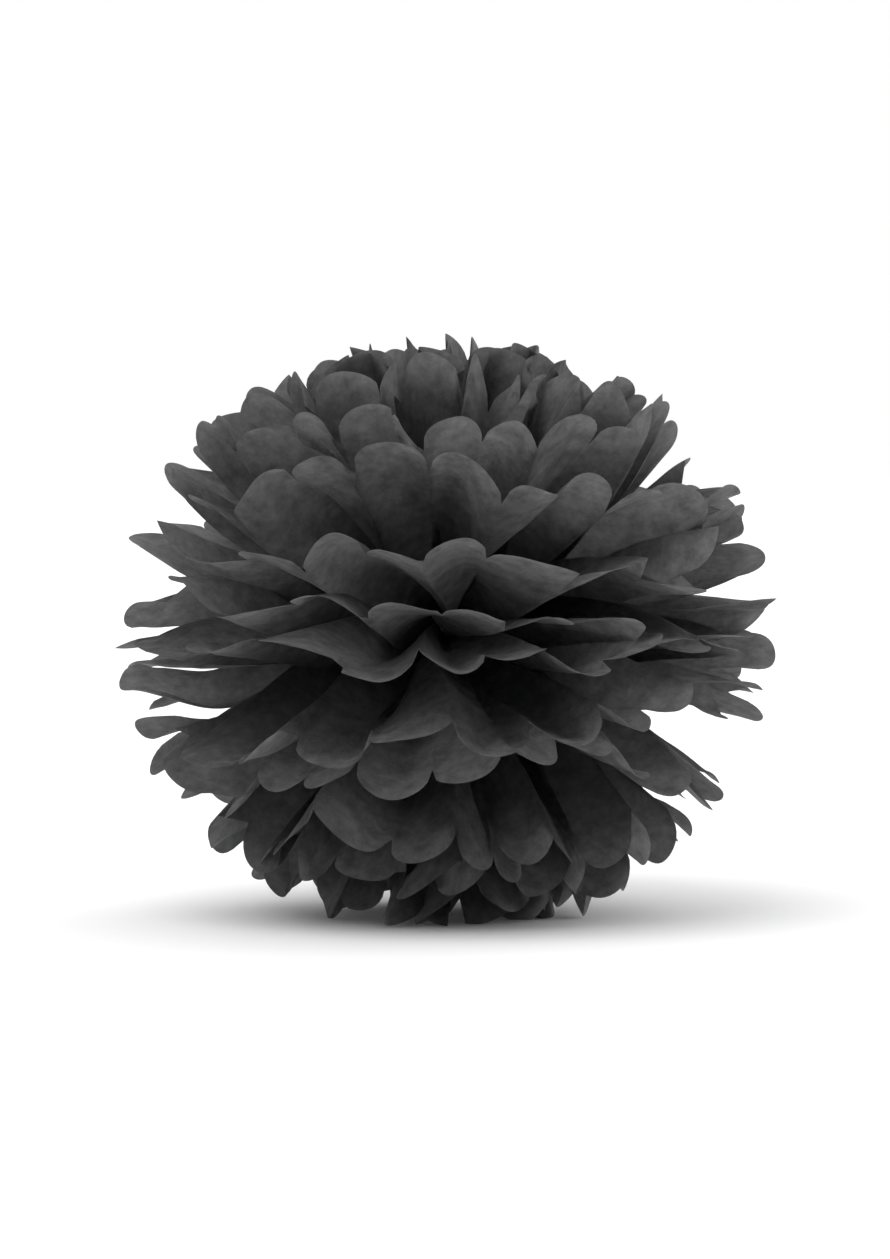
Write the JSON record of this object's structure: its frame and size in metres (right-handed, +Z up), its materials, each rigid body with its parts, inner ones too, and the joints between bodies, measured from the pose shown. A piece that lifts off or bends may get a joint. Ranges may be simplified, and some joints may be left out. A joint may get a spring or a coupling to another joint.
{
  "type": "tissue paper pom pom",
  "caption": "Round party decoration of pleated tissue sheets, tied in the middle with wire, fanned to both sides and pulled apart into a ball of round-ended petals.",
  "frame": {"origin": "Centre of the underside of the box round the pom pom, at the level of the petal tips it stands on.", "axes": "+Z up through the poles. The folded strip lies along Y, so that its two halves fan out to the front, -Y, and to the back, +Y, and meet at the sides, -X and +X."},
  "size_m": [0.3376, 0.346, 0.3021],
  "materials": {
    "tissue": "matt black tissue paper, thin enough to let light through",
    "wire": "galvanised soft wire"
  },
  "bodies": {
    "root": {"upper_sheet_1": "tissue", "upper_sheet_2": "tissue", "upper_sheet_3": "tissue", "upper_sheet_4": "tissue", "upper_sheet_5": "tissue", "upper_sheet_6": "tissue", "lower_sheet_1": "tissue", "lower_sheet_2": "tissue", "lower_sheet_3": "tissue", "lower_sheet_4": "tissue", "lower_sheet_5": "tissue", "lower_sheet_6": "tissue", "binding_wire": "wire"}
  },
  "joints": []
}
